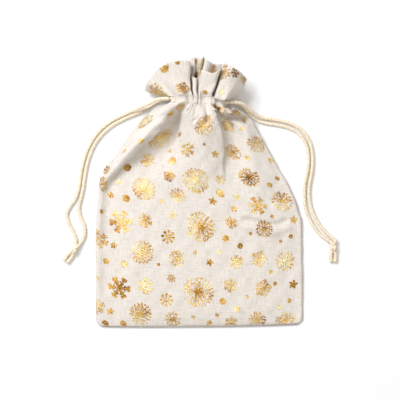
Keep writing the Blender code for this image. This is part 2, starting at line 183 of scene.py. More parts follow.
# Creases and small folds on the front: height, half width, line
CREASES = [
    (-1.7, 1.5, [(28, -18), (37, -20), (46, -21.4), (54.5, -19)]),
    (1.0, 2.6, [(30, -22), (38, -24), (47, -25.4), (55, -23)]),
    (-1.0, 2.0, [(33, 4), (38, -3), (45, -8)]),
    (5.0, 1.6, [(20.4, 50.4), (23.6, 49.8), (28, 48.4)]),
    (-3.0, 1.1, [(17.5, 45.6), (22, 45.8), (28, 45.2)]),
    (-6.5, 0.9, [(17.6, 54), (17.8, 50.5), (18.2, 47.6)]),
    (-2.6, 1.2, [(-3.4, 53), (-2.8, 48), (-2.6, 44)]),
    (-2.6, 1.1, [(3.6, 53), (4.6, 48), (5.2, 44)]),
    (-1.6, 1.6, [(-20, 50), (-29, 42), (-38, 33)]),
]

# The front of the frill at its rim, half way out and just above the channel: x, y, z. The same folds
# follow each other in all three, from the left end to the right.
FRONT_RIM = [
    (-34.4, 62.8, 4), (-33, 67.8, 11), (-25.4, 77, 16.5), (-19.6, 80.4, 18.5), (-13, 81.2, 19.5),
    (-8, 81.2, 19.5), (-5.7, 80.6, 18.5), (-5.5, 79, 7.5), (-4.9, 74.4, 7), (-4.4, 71.2, 13.5),
    (-2, 70.4, 13.5), (-0.9, 70.9, 9.5), (1, 75.2, 20.5), (4.4, 74, 22), (7.6, 73, 22.2),
    (10.4, 73.6, 21.8), (12.8, 75.4, 20), (13.2, 77.2, 10.5), (14.6, 79, 10), (15.6, 79.4, 20),
    (17.7, 78.6, 23), (20.4, 77, 23), (25.8, 73.6, 19), (29.8, 69.6, 12.5), (28.2, 65.8, 7),
]
FRONT_MIDDLE = [
    (-27.5, 60.6, 5), (-26, 63.4, 11.5), (-21.5, 68.3, 16), (-17, 70.4, 17.4), (-12.2, 70.9, 17),
    (-8.2, 70.8, 17.4), (-6, 70.2, 16.8), (-5.7, 69, 6.5), (-5, 67, 6), (-4.3, 65.6, 15), (-2.2, 65.2, 15),
    (-1.1, 65.4, 9), (0.5, 66.6, 18.5), (3.3, 67, 20), (5.8, 66.8, 20.4), (8, 66.4, 20.2), (10, 66.2, 19.4),
    (10.4, 66.4, 8), (11, 66.8, 7.6), (12, 67, 18.5), (13.8, 67, 21.8), (17, 66.6, 22), (20.8, 64.4, 19.5),
    (24.4, 61.6, 14.5), (24.2, 60, 9),
]
FRONT_ROOT = [
    (-21, 59.2, 8), (-19.5, 59.4, 12.5), (-15.5, 60.8, 15.5), (-12.5, 61.8, 17), (-9.6, 62.4, 18),
    (-7.4, 62.6, 18.4), (-5.9, 62.7, 17.8), (-5.5, 62.6, 8), (-4.9, 62.4, 8), (-4.3, 62.2, 16),
    (-2.2, 62, 16.8), (-1.1, 62, 11), (0.3, 61.8, 18), (3.2, 61.4, 19.6), (5, 61.2, 20), (6.4, 61, 19.8),
    (7.7, 60.8, 18.5), (8, 60.7, 9), (8.4, 60.2, 9), (9.2, 59, 17.5), (10.8, 57, 20.5), (13, 55.8, 21),
    (16, 56, 20), (18.6, 57.3, 16.5), (20.5, 60, 10),
]
FRONT_VALLEYS = (7.5, 11, 17.5)  # where the valleys lie, counted in those points
# The back of the frill at its rim: place across the neck, x, y, z
BACK_RIM = [
    (0, -34.4, 62.8, 4), (0.117, -27, 72, 1.0), (0.234, -14.5, 79, 0.8), (0.312, -8, 81, 1.0),
    (0.347, -5.6, 82, 1.2), (0.374, -4.4, 82.9, 6), (0.432, -1.6, 83.6, 7), (0.489, 2.2, 83.4, 6.5),
    (0.532, 5.2, 82.8, 5), (0.585, 7.4, 80.2, 1.8), (0.66, 12.6, 79.4, 2.6), (0.739, 17, 77, 1.2),
    (0.843, 22, 73, 1.2), (0.935, 26, 68.5, 3.4), (1, 28.2, 65.8, 7),
]

# The print that shows on the front, each motif by its place in the frame: kind, x, y, size
FRONT_PRINT = [
    ("petals", -49.9, -19.5, 15), ("frost", -33.6, -18.8, 9), ("blossom", -16.8, -14.8, 5.2),
    ("lace", 0.6, -22.3, 19), ("frost", 20.3, -19.2, 7.6), ("lace", 40.4, -23.6, 11),
    ("star", 58.9, -17.9, 6.2), ("blossom", -19.7, -28.5, 9.2), ("dot", 16, -28.9, 4.4),
    ("dot", 31.4, -26.5, 2.2), ("dot", 25.9, -33.5, 3.6), ("dot", 57.2, -28.7, 2.8),
    ("dot", 50.6, -31.8, 2.2), ("frost", -64, -29.8, 11), ("star", -53.7, -34.2, 5.6),
    ("lace", -36, -38.6, 14.8), ("lace", -14.6, -42.1, 10.5), ("star", -3.2, -38.8, 3.5),
    ("dot", 12.7, -37.5, 2.6), ("star", 6.5, -44.8, 6), ("frost", 22.4, -44.3, 8.4),
    ("burst", 36.7, -42.6, 11), ("lace", 53.8, -43.7, 12.5), ("dot", -58.1, -43.3, 3.9),
    ("dot", -47.4, -45, 4.8), ("dot", -25.2, -46.1, 2), ("dot", -63.7, -54.2, 2.4),
    ("dot", 44.8, -15.3, 2.3), ("star", 21.5, -10.9, 5.6), ("petals", 36, -8.7, 11.5),
    ("lace", 51.9, -6, 13), ("dot", -60.9, -12.6, 2.8), ("dot", -23.4, -6.4, 2.6), ("star", 7.8, -6, 6),
    ("petals", -50.8, -59.8, 14.5), ("frost", -34.6, -58.9, 10), ("blossom", -17.7, -54.9, 5.6),
    ("lace", -0.5, -62.4, 19.4), ("frost", 18.9, -58.9, 8.6), ("burst", 39.6, -61.1, 12),
    ("dot", 46.6, -58.2, 2.6), ("star", 58.9, -58.4, 7), ("blossom", -21.2, -67.7, 9),
    ("dot", 14.4, -69, 4.3), ("dot", 30.3, -66.4, 2.2), ("dot", 23.9, -73.9, 4), ("dot", 56.7, -68.6, 2.8),
    ("dot", 49.7, -72.1, 2.5), ("frost", -65, -71.2, 10), ("star", -55.8, -74.7, 5.8),
    ("lace", -37.1, -77.2, 14.5), ("lace", -16.1, -80.4, 10), ("star", -4.1, -78.7, 3.4),
    ("dot", 11.4, -77.8, 2.4), ("frost", 19.7, -81.8, 8), ("lace", 36, -80.9, 11),
    ("lace", 53.2, -80.9, 12), ("dot", -59.6, -82.6, 4), ("dot", -48.4, -83, 4), ("star", 5.6, -82.4, 5),
    ("dot", 44.8, -50.9, 2.6), ("lace", -34.9, 1.2, 14.8), ("lace", -13, -2.4, 10), ("dot", -46.4, -4.4, 5),
    ("dot", -56, -2.4, 3.8), ("star", -51.2, 5.8, 5.4), ("frost", -60.5, 4.2, 9), ("frost", -57.8, 13.9, 6),
    ("dot", -45.5, 14.8, 5), ("frost", -32.7, 20.1, 8.6), ("dot", -17.7, 19.2, 5), ("dot", -18.6, 25.5, 2),
    ("burst", -19.5, 9.5, 8.4), ("lace", -3.2, 7.7, 17), ("petals", 13.1, 7.7, 6.4), ("dot", -1.4, -0.2, 3),
    ("dot", 13.1, -0.8, 5.2), ("dot", 23.7, -3, 3.9), ("lace", 31.2, 9.5, 13), ("dot", 43.5, 3.5, 3.5),
    ("dot", 48.4, 8.6, 3), ("star", 44.8, 19.6, 5.4), ("dot", 29.9, 20.9, 3.5), ("lace", 20.6, 24.5, 11),
    ("lace", 34.7, 29.7, 12), ("star", 9.2, 22.7, 6), ("star", 3, 28.9, 2.6), ("frost", -8, 26.2, 9.4),
    ("lace", 1.7, 40.3, 14), ("dot", 28.1, 44.3, 3), ("dot", 25.9, 39.4, 2.5), ("burst", 16.8, 41.2, 10),
    ("lace", 12.7, 52.2, 9), ("lace", 21.9, 48.7, 8), ("lace", -24.6, 33.2, 15), ("dot", -12.4, 35.9, 3.4),
    ("dot", -36.4, 31.1, 3.6), ("dot", -47.2, 24.5, 3), ("lace", -34.2, 43.2, 13), ("dot", -17.7, 48.3, 5),
    ("burst", -12.4, 53, 8), ("lace", -26.5, 62, 15), ("dot", -21.5, 77, 6.4), ("dot", -13.4, 80, 3),
    ("burst", -10.8, 63.6, 9), ("dot", 14, 61.7, 3), ("dot", 3.4, 61.8, 3.2), ("frost", 21.8, 73.2, 6),
    ("lace", 28.4, 71.6, 7), ("lace", 15.4, 74, 10),
]
# The print on the back half's inner face, which shows above the front rim
INNER_PRINT = [
    ("lace", 1.2, 77.6, 11), ("dot", -2.2, 81.9, 3.4), ("lace", 7.9, 76.3, 7), ("burst", -1.4, 72.6, 7),
]

# The back carries some of the front's motifs again, as a repeat up the flat cloth
REPEATED = [motif for number, motif in enumerate(FRONT_PRINT[:28]) if number not in (13, 26)]
REPEAT_FROM_X = -CUT_WIDTH / 2
REPEAT_FROM_Y = -44.2
REPEAT_UP = 39.6
REPEAT_SKEW = -1.3
REPEATS = 5

# Each tail's route in mm, from its exit to its knot
TAIL_ROUTES = {
    "left_tail_front": [
        (-18.8, 57.8, 13.0), (-22.5, 57.8, 13.0), (-26.5, 57.2, 12.2), (-32.0, 54.7, 8.2),
        (-38.0, 52.1, 4.4), (-44.5, 49.6, 2.0), (-50.5, 46.8, 1.1), (-56.3, 43.6, 1.1), (-61.8, 39.2, 1.1),
        (-66.2, 33.9, 1.1), (-69.7, 27.8, 1.1), (-72.2, 21.4, 1.1), (-73.9, 14.8, 1.1), (-75.0, 8.0, 1.1),
        (-76.0, 1.5, 1.1), (-78.0, -4.6, 1.1), (-81.4, -9.6, 1.1), (-83.4, -14.6, 1.1), (-81.8, -20.4, 1.1),
        (-79.3, -25.2, 1.1), (-77.9, -29.2, 1.2), (-77.6, -32.4, 1.9),
    ],
    "left_tail_back": [
        (-18.8, 57.8, 4.2), (-20.8, 57.8, 4.1), (-24.2, 57.4, 2.6), (-28.6, 55.2, 1.3), (-33.5, 52.0, 1.1),
        (-38.5, 49.3, 1.1), (-44.0, 47.0, 1.1), (-49.6, 44.4, 1.1), (-55.0, 41.3, 1.1), (-60.1, 37.1, 1.1),
        (-64.2, 32.2, 1.1), (-67.4, 26.6, 1.1), (-69.7, 20.5, 1.1), (-71.3, 14.2, 1.1), (-72.3, 7.8, 1.1),
        (-73.2, 1.6, 1.1), (-74.6, -4.6, 1.1), (-75.8, -10.6, 1.1), (-74.6, -16.3, 1.1),
        (-72.3, -21.8, 1.1), (-72.2, -27.0, 1.1), (-73.7, -31.0, 1.3), (-75.6, -33.6, 2.2),
    ],
    "right_tail_front": [
        (18.8, 55.4, 13.0), (22.5, 55.4, 13.0), (26.2, 54.6, 11.6), (30.3, 51.9, 8.4), (34.3, 48.6, 5.2),
        (38.8, 46.3, 2.6), (44.6, 45.4, 1.3), (51.0, 44.3, 1.1), (57.2, 42.6, 1.1), (62.6, 39.8, 1.1),
        (66.7, 35.6, 1.1), (69.4, 30.2, 1.1), (70.7, 24.0, 1.1), (70.9, 17.6, 1.1), (70.2, 11.0, 1.1),
        (69.0, 4.6, 1.1), (68.6, -2.2, 1.1), (69.6, -9.0, 1.1), (72.0, -15.4, 1.1), (75.2, -21.0, 1.1),
        (78.9, -25.4, 1.1), (82.3, -28.2, 1.3), (84.4, -30.2, 2.0),
    ],
    "right_tail_back": [
        (18.8, 55.4, 4.2), (21.0, 55.4, 4.1), (24.8, 54.6, 2.6), (28.8, 51.4, 1.3), (32.4, 47.6, 1.1),
        (36.6, 44.4, 1.1), (42.0, 42.8, 1.1), (48.4, 41.8, 1.1), (54.8, 40.3, 1.1), (60.3, 37.8, 1.1),
        (64.3, 33.9, 1.1), (67.0, 28.9, 1.1), (68.2, 23.0, 1.1), (68.2, 16.8, 1.1), (67.2, 10.6, 1.1),
        (65.9, 4.4, 1.1), (65.7, -2.4, 1.1), (66.2, -9.2, 1.1), (68.6, -16.2, 1.1), (72.0, -22.4, 1.1),
        (75.8, -27.2, 1.1), (79.3, -29.8, 1.3), (81.6, -31.3, 2.2),
    ],
}
# Each knot's centre and the way it points, in degrees
KNOTS = {"left": ((-78.3, -36.4, 2.35), 232), "right": ((84.0, -34.6, 2.35), 268)}

# Stitches
STITCH_RADIUS = 0.2
STITCH_SIDES = 6
STITCH_LIFT = 0.12
STITCH_PITCH = 4  # in columns of cloth

# The foil
FOIL_LIFT = 0.13
FOIL_SEED = 11
TURN_SEED = 5
STROKE_STEP = 0.8
STROKE_GAPS = 0.07  # the share of steps left out

# The camera and the light, in metres
VIEW_X, VIEW_Y = 0.25 * MM, -5.35 * MM
SEEN_WIDTH = 251.2 * MM
CAMERA_HEIGHT = 1.4
SENSOR_WIDTH = 36
TABLE_COLOUR = (0.845, 0.85, 0.865, 1)
TABLE_GLOW = (1, 0.9, 0.78, 1)
SKY_COLOUR = (1, 0.963, 0.915, 1)
HORIZON_FILL = 0.22
OVERHEAD_FILL = 0.80
KEY_POWER = 12.0
KEY_SIZE = 0.5
KEY_COLOUR = (0.97, 1.0, 1.06)
KEY_PLACE = (-0.55, 0.60, 0.92)


# ---- small helpers


def smooth(low, high, value):
    t = np.clip((value - low) / (high - low), 0, 1)
    return t * t * (3 - 2 * t)


def unit(vectors):
    return vectors / np.maximum(np.linalg.norm(vectors, axis=-1, keepdims=True), 1e-9)


def curve(points):
    """A Catmull-Rom curve through the given points."""
    p = np.asarray(points, float)
    p = np.vstack([2 * p[0] - p[1], p, 2 * p[-1] - p[-2]])
    t = np.linspace(0, 1, CURVE_STEPS, endpoint=False)[:, None]
    fine = []
    for a, b, c, d in zip(p, p[1:], p[2:], p[3:]):
        square = (2 * a - 5 * b + 4 * c - d) * t**2
        fine.append(0.5 * (2 * b + (c - a) * t + square + (3 * b - a - 3 * c + d) * t**3))
    return np.vstack([*fine, p[-2]])


def distances(line):
    """How far along the line each of its points is."""
    return np.concatenate([[0], np.cumsum(np.linalg.norm(np.diff(line, axis=0), axis=1))])


def read_along(line, along, wanted):
    return np.stack([np.interp(wanted, along, line[:, k]) for k in range(line.shape[1])], -1)


def spline(points, count):
    """Evenly spaced points on the curve through the given ones."""
    fine = curve(points)
    along = distances(fine)
    return read_along(fine, along, np.linspace(0, along[-1], count))


def length_of(points):
    return float(np.linalg.norm(np.diff(points, axis=0), axis=1).sum())


def renumbered(faces):
    """The points that the faces use, and the faces with those points numbered from 0."""
    used = sorted({n for face in faces for n in face})
    number = {n: k for k, n in enumerate(used)}
    return used, [[number[n] for n in face] for face in faces]


def make_mesh(name, points, faces, material, uv=None):
    mesh = bpy.data.meshes.new(name)
    mesh.from_pydata((np.asarray(points) * MM).tolist(), [], faces)
    mesh.materials.append(material)
    if uv is not None:
        layer = mesh.uv_layers.new(name="UVMap")
        corners = np.empty(len(mesh.loops), int)
        mesh.loops.foreach_get("vertex_index", corners)
        layer.data.foreach_set("uv", np.asarray(uv)[corners].astype(np.float32).ravel())
    mesh.shade_smooth()
    obj = bpy.data.objects.new(name, mesh)
    bpy.context.scene.collection.objects.link(obj)
    return obj


def thicken(obj, thickness, offset):
    modifier = obj.modifiers.new("thickness", "SOLIDIFY")
    modifier.thickness = thickness * MM
    modifier.offset = offset


def assign(piece, body, slot, *nodes):
    """Hang a piece from its body and hide the nodes that it stands for. The slot, for what it is made of,
    is not used.
    """
    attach(piece, body)
    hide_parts(*nodes)


# ---- the cloth's shape


def seam_line(edge):
    """The seam's x and y at each row below the channel, evenly along the outline."""
    line = spline(edge[::-1], 400)
    along = np.linspace(0, 1, 400)
    share = np.clip(ROWS / NECK_V, 0, 1)
    return np.interp(share, along, line[:, 0]), np.interp(share, along, line[:, 1])


def drawn_front(left, right, middle_y, neck_x, pull):
    """The front below the neck, read from the cross-sections. Its points are spaced evenly along each
    row, except where the gathers pull them towards their places in the neck."""
    levels = np.array([row[0] for row in SECTIONS[::-1]], float)
    curves = np.array([curve(row[1:]) for row in SECTIONS[::-1]])
    shares = [distances(line) / distances(line)[-1] for line in curves]
    place = np.mean(shares, axis=0)
    edge = np.abs(2 * place - 1) ** 3
    grid = np.empty((UP + 1, ACROSS + 1, 3))
    for i in range(UP + 1):
        y = middle_y[i] * (1 - edge) + np.where(place < 0.5, left[1][i], right[1][i]) * edge
        x, z = (
            np.array([np.interp(y[k], levels, curves[:, k, axis]) for k in range(len(y))])
            for axis in (0, 1)
        )
        x = x + (left[0][i] - x[0]) * (1 - place) ** 4 + (right[0][i] - x[-1]) * place**4
        z = z + crease_lift(x, y)
        line = np.stack([x, y, z], -1)
        along = distances(line)
        gathered = left[0][i] + (right[0][i] - left[0][i]) * (neck_x / (2 * NECK_HALF) + 0.5)
        pulled = np.interp(gathered, np.maximum.accumulate(x), along)
        grid[i] = read_along(line, along, SHARE * along[-1] * (1 - pull[i]) + pulled * pull[i])
    return grid


def crease_lift(x, y):
    """How much the creases raise or lower the front at each point."""
    lift = np.zeros_like(x)
    for height, width, line in CREASES:
        track = spline(line, 60)
        away = (x[..., None] - track[:, 0]) ** 2 + (y[..., None] - track[:, 1]) ** 2
        lift += height * np.exp(-away.min(axis=-1) / width**2)
    return lift


def pleat_phase(share):
    """The phase of the gathers across the neck. They are unevenly spaced."""
    uneven = GATHERS * share + 0.22 * np.sin(5.3 * share * math.pi)
    return 2 * math.pi * (uneven + 0.12 * np.sin(13 * share + 1))


def fold_places():
    """The share of the way across the front at which each fold of the frill stands, from its own length."""
    lengths = [distances(np.array(table, float)) for table in (FRONT_RIM, FRONT_MIDDLE)]
    return np.mean([line / line[-1] for line in lengths], axis=0)


def neck_line(folds):
    """The x of each column where it enters the channel."""
    root_x = np.array(FRONT_ROOT, float)[:, 0]
    places = 2 * NECK_HALF * (root_x - root_x[0]) / (root_x[-1] - root_x[0]) - NECK_HALF
    return np.interp(SHARE, folds, places)


def body_shape(u, v, neck_x):
    """The front and the back below the channel."""
    left, right = seam_line(LEFT_EDGE), seam_line(RIGHT_EDGE)
    (left_x, left_y), (right_x, right_y) = ([a[:, None] for a in side] for side in (left, right))
    flat_y = BOTTOM_Y + FLAT_V * FLAT_STRETCH
    above = flat_y + (v - FLAT_V) * (NECK_Y - flat_y) / (NECK_V - FLAT_V)
    middle_y = np.where(v < FLAT_V, BOTTOM_Y + v * FLAT_STRETCH, above)
    edge = np.abs(2 * u - 1) ** 3
    y = middle_y * (1 - edge) + np.where(u < 0.5, left_y, right_y) * edge
    pull = smooth(BACK_PULL_V, NECK_V, v)
    across = (1 - pull) * u + pull * (neck_x / (2 * NECK_HALF) + 0.5)
    x = left_x + (right_x - left_x) * across
    front = drawn_front(left, right, middle_y[:, 0], neck_x, smooth(FRONT_PULL_V, NECK_V, ROWS))

    below_corner = np.clip(CORNER_RADIUS - v, 0, CORNER_RADIUS)
    inset = CORNER_RADIUS - np.sqrt(np.clip(CORNER_RADIUS**2 - below_corner**2, 0, None))
    narrow = 1 - CORNER_INSET * inset / (CUT_WIDTH / 2)
    slope = BOTTOM_SLOPE * (1 - smooth(0, SLOPE_END_V, v))
    x, y = x * narrow, y + slope * x * narrow
    front[..., 0] *= narrow
    front[..., 1] += slope * front[..., 0]
    bottom = np.sqrt(np.clip(1 - (1 - np.clip(v / BOTTOM_ROLL, 0, 1)) ** 2, 0, 1))
    front[..., 2] = BOTTOM_Z + (front[..., 2] - BOTTOM_Z) * bottom

    near_neck = smooth(BACK_PLEATS_V, NECK_V, v)
    pleats = 1 + np.cos(pleat_phase(u) + BACK_PHASE)
    at_seam = np.abs(2 * u - 1) ** 10
    back_z = BACK_Z + 1.6 * near_neck**2 * pleats * (1 - at_seam)
    back_z += at_seam * (front[:, [0], 2] - BACK_Z)
    return front, np.stack([x, y, back_z], -1)


def draw_channel(front, back, u, v, neck_x):
    """Draw the channel tight over the cords, with its folds dying out below it."""
    held = np.abs(v - CHANNEL_V) <= CHANNEL_HALF
    below = v < NECK_V
    last = np.flatnonzero(ROWS < NECK_V)[-1]
    up = (v - CHANNEL_V) / CHANNEL_HALF
    pinch = np.clip(1 - up**2, 0, 1)
    phase = pleat_phase(u)
    at_seam = np.abs(2 * u - 1) ** 10
    y = CHANNEL_Y + (v - CHANNEL_V) * CHANNEL_STRETCH - CHANNEL_TILT * (2 * u - 1)
    sway = GATHER_SWAY * np.sin(phase + 1.3 * (v - CHANNEL_V) / CHANNEL_HALF)
    x = neck_x * (1.02 - 0.05 * pinch) + sway
    front_z = FRONT_WALL_Z + (FRONT_GATHER_Z - GATHER_PINCH * pinch) * (1 + np.cos(phase))
    back_z = BACK_WALL_Z - BACK_GATHER_Z * np.cos(phase + BACK_PHASE)
    for grid, wall_z, fade_length in ((front, front_z, FRONT_FADE), (back, back_z, BACK_FADE)):
        channel = np.stack([x, y, SEAM_Z * at_seam + (1 - at_seam) * wall_z], -1)
        step = (channel[last + 1] - grid[last])[None]
        fade = np.exp(-((np.maximum(NECK_V - v, 0) / fade_length) ** 1.3))[..., None]
        grid[below] += (step * fade)[below]
        grid[held] = channel[held]
    return held


def away_from(valleys, places, width):
    """1 away from the valleys and nearly 0 in them."""
    away = np.ones_like(places)
    for valley in valleys:
        away *= 1 - 0.9 * np.exp(-(((places - valley) / width) ** 2))
    return away


def between(keys, t):
    """The line at t between the key lines, which stand at FRILL_STEPS."""
    k = min(int(np.searchsorted(FRILL_STEPS, t, side="right")) - 1, 2)
    s = (t - FRILL_STEPS[k]) / (FRILL_STEPS[k + 1] - FRILL_STEPS[k])
    return keys[k] * (1 - s) + keys[k + 1] * s


def draw_frill(front, back, folds, neck_x):
    """Draw the frill, from the channel out to its rim."""
    top = np.flatnonzero(ROWS > HEADER_V)
    last = top[0] - 1
    across_neck = neck_x / (2 * NECK_HALF) + 0.5
    phase = pleat_phase(SHARE)
    wave, back_wave = np.cos(phase), np.cos(phase + BACK_PHASE)
    to_side = np.abs(2 * SHARE - 1)
    valleys = np.interp(FRONT_VALLEYS, np.arange(len(folds)), folds)
    open_front = away_from(valleys, SHARE, FRONT_VALLEY_WIDTH)
    open_back = away_from(BACK_VALLEYS, across_neck, BACK_VALLEY_WIDTH)

    front_keys = [front[last]]
    for table in (FRONT_ROOT, FRONT_MIDDLE, FRONT_RIM):
        front_keys.append(read_along(np.array(table, float), folds, SHARE))
    back_table = np.array(BACK_RIM, float)
    rim = read_along(back_table[:, 1:], back_table[:, 0], across_neck)
    root = 0.62 * back[last] + 0.38 * rim
    middle = 0.3 * back[last] + 0.7 * rim
    root[:, 2] = np.minimum(root[:, 2], 4.2 + 4.4 * to_side**10)
    back_keys = [back[last], root, middle, rim]

    for i in top:
        t = np.clip((ROWS[i] - HEADER_V) / (CUT_HEIGHT - HEADER_V), 0, 1)
        opened = smooth(0.05, 0.2, t)
        free_side = 1 - to_side**6
        free_front = free_side * (1 - opened + opened * open_front)
        free_back = free_side * (1 - opened + opened * open_back)
        front[i] = between(front_keys, t)
        front[i, :, 2] += free_front * smooth(0, 0.14, t) * (2.3 * (1 - t) ** 2.2 + 0.4) * wave
        back[i] = between(back_keys, t)
        deep = BACK_PLEAT * (1.05 - 0.15 * t)
        back[i, :, 2] += free_back * smooth(0, 0.12, t) * deep * (1 - back_wave)
        back[i, :, 1] += free_back * t * 1.1 * back_wave


def mirrored_bottom(ring):
    """The bottom row, where the front's points and the back's are the same."""
    return (ring[0] + ring[0][(AROUND - np.arange(AROUND)) % AROUND]) / 2


def start_shape():
    """The gathered cloth before it settles, and which points the channel holds."""
    u, v = np.meshgrid(SHARE, ROWS)
    folds = fold_places()
    neck_x = neck_line(folds)
    front, back = body_shape(u, v, neck_x)
    held = draw_channel(front, back, u, v, neck_x)
    draw_frill(front, back, folds, neck_x)
    ring = np.concatenate([front, back[:, -2:0:-1]], axis=1)
    ring[0] = mirrored_bottom(ring)
    return ring, np.concatenate([held, held[:, -2:0:-1]], axis=1)


def settle(ring, held):
    """Let the cloth ease into its folds. It has a little spare length, resists tight bends and lies
    on the floor."""
    start = ring.copy()
    before = ring.copy()
    free = np.where(held, 0.0, 1.0)[..., None]
    columns, rows = np.arange(AROUND), np.arange(UP + 1)
    front = (columns > 0) & (columns < ACROSS)
    back = columns > ACROSS
    v = ROWS[:, None]
    rest_u = np.linalg.norm(np.roll(ring, -1, 1) - ring, axis=-1, keepdims=True)
    rest_v = np.linalg.norm(np.diff(ring, axis=0, append=ring[-1:]), axis=-1, keepdims=True)
    spare = SPARE_LENGTH * smooth(60, 110, v)[..., None]
    rest_u = np.minimum(rest_u * (1 + spare), MOST_STRETCH * CELL_U)
    rest_v = rest_v * (1 + 0.3 * SPARE_LENGTH)
    seam = np.zeros((UP + 1, AROUND))
    seam[:, [0, ACROSS]] = SEAM_HOLD
    seam[:, [1, AROUND - 1, ACROSS - 1, ACROSS + 1]] = NEAR_SEAM_HOLD
    seam[:3] = BOTTOM_HOLD
    body = BODY_HOLD + SHOULDER_HOLD * smooth(75, 115, v)
    hold = np.maximum(seam, np.where(v > HEADER_V, FRILL_HOLD, body))[..., None]

    def pair(a, b, rest, firmness, only_push):
        """Move the points a and b towards their rest length, or only apart."""
        d = ring[b] - ring[a]
        far = np.linalg.norm(d, axis=-1, keepdims=True)
        off = (far - rest) / np.maximum(far, 1e-6)
        if only_push:
            off = np.minimum(off, 0)
        weight = free[a] + free[b]
        move = firmness * off * d / np.maximum(weight, 1e-6)
        ring[a] += free[a] * move
        ring[b] -= free[b] * move

    def across(gap, firmness, only_push=False):
        for part in (0, 1):
            a = columns[(columns // gap) % 2 == part]
            b = (a + gap) % AROUND
            pair(np.s_[:, a], np.s_[:, b], gap * rest_u[:, a], firmness, only_push)

    def up(gap, firmness, only_push=False):
        for part in (0, 1):
            a = rows[((rows // gap) % 2 == part) & (rows + gap <= UP)]
            pair(np.s_[a, :], np.s_[a + gap, :], gap * rest_v[a], firmness, only_push)

    def keep_apart():
        """The front lies over the back, read in squares of 1 mm, and both lie over the floor."""
        ix = np.clip((ring[..., 0] + 100).astype(int), 1, 198)
        iy = np.clip((ring[..., 1] + 100).astype(int), 1, 198)
        ground = np.full((200, 200), FLOOR_GAP)
        np.maximum.at(ground, (ix[:, back], iy[:, back]), ring[:, back, 2])
        wide = ground.copy()
        for shift in (-1, 1):
            wide = np.maximum(wide, np.roll(ground, shift, 0))
            wide = np.maximum(wide, np.roll(ground, shift, 1))
        least = wide[ix[:, front], iy[:, front]] + LAYER_GAP
        need = np.maximum(least - ring[:, front, 2], 0) * free[:, front, 0]
        ring[:, front, 2] += 0.5 * need
        np.maximum(ring[..., 2], FLOOR_GAP, out=ring[..., 2])

    for _ in range(SETTLE_STEPS):
        speed = np.clip(ring - before, -TOP_SPEED, TOP_SPEED) * SLOWING
        before = ring.copy()
        ring += free * speed
        ring[..., 2] -= SINKING * free[..., 0]
        for _ in range(2):
            across(1, 0.9)
            up(1, 0.9)
            across(2, 0.10, True)
            up(2, 0.14, True)
        ring[0] = mirrored_bottom(ring)
        keep_apart()
        ring += free * hold * (start - ring)
    return ring


def soften(ring, held):
    """Take the last jitter out without moving the channel."""
    beside = (np.roll(ring, 1, 1) + np.roll(ring, -1, 1)) / 2
    over = ring.copy()
    over[1:-1] = (ring[2:] + ring[:-2]) / 2
    return np.where(held[..., None], ring, 0.6 * ring + 0.2 * beside + 0.2 * over)


def crumple(ring, normals):
    """The faint unevenness that pressed and handled linen keeps."""
    v = ROWS[:, None]
    u = (np.arange(AROUND) * CELL_U)[None, :]
    turn = 2 * math.pi / (AROUND * CELL_U)
    lift = np.zeros((UP + 1, AROUND))
    ripples = [(9, 41, 0.16), (14, 23, 0.12), (23, 61, 0.10), (31, 15, 0.07)]
    for k, (waves, pitch, size) in enumerate(ripples):
        lift += size * np.sin(waves * turn * u + v * 2 * math.pi / pitch + 1.7 * k)
        lift += size * 0.7 * np.sin(-(waves + 3) * turn * u + v * 2 * math.pi / (pitch * 0.63) + 2.9 * k)
    lift *= smooth(0, 10, v)
    ring = ring + normals * lift[..., None]
    np.maximum(ring[..., 2], FLOOR_GAP, out=ring[..., 2])
    return ring


def normals_of(ring):
    along_u = np.roll(ring, -1, 1) - np.roll(ring, 1, 1)
    along_v = np.gradient(ring, axis=0)
    return unit(np.cross(along_u, along_v))


def cloth_piece(name, ring, first, last, columns, material):
    """The rows from first to last, round the given columns, as a sheet with thickness.
    The bottom row joins front and back."""
    count = last - first

    def corner(i, j):
        if first == 0 and i == 0 and j % AROUND > ACROSS:
            return AROUND - j % AROUND
        return i * AROUND + j % AROUND

    faces = []
    for i in range(count):
        for j in range(*columns):
            faces.append([corner(i, j), corner(i, j + 1), corner(i + 1, j + 1), corner(i + 1, j)])
    used, faces = renumbered(faces)
    points = ring[first : last + 1].reshape(-1, 3)[used]
    flat = np.stack(np.meshgrid(np.arange(AROUND) * CELL_U, ROWS[first : last + 1]), -1)
    obj = make_mesh(name, points, faces, material, flat.reshape(-1, 2)[used])
    thicken(obj, CLOTH_THICKNESS, -1)
    return obj


# ---- the foil print


def arms(turn, count):
    """For each of some arms round a middle: its number, the way out along it and the way beside it."""
    for k in range(count):
        angle = turn + 2 * math.pi * k / count
        out = np.array([math.cos(angle), math.sin(angle)])
        yield k, out, np.array([-out[1], out[0]])


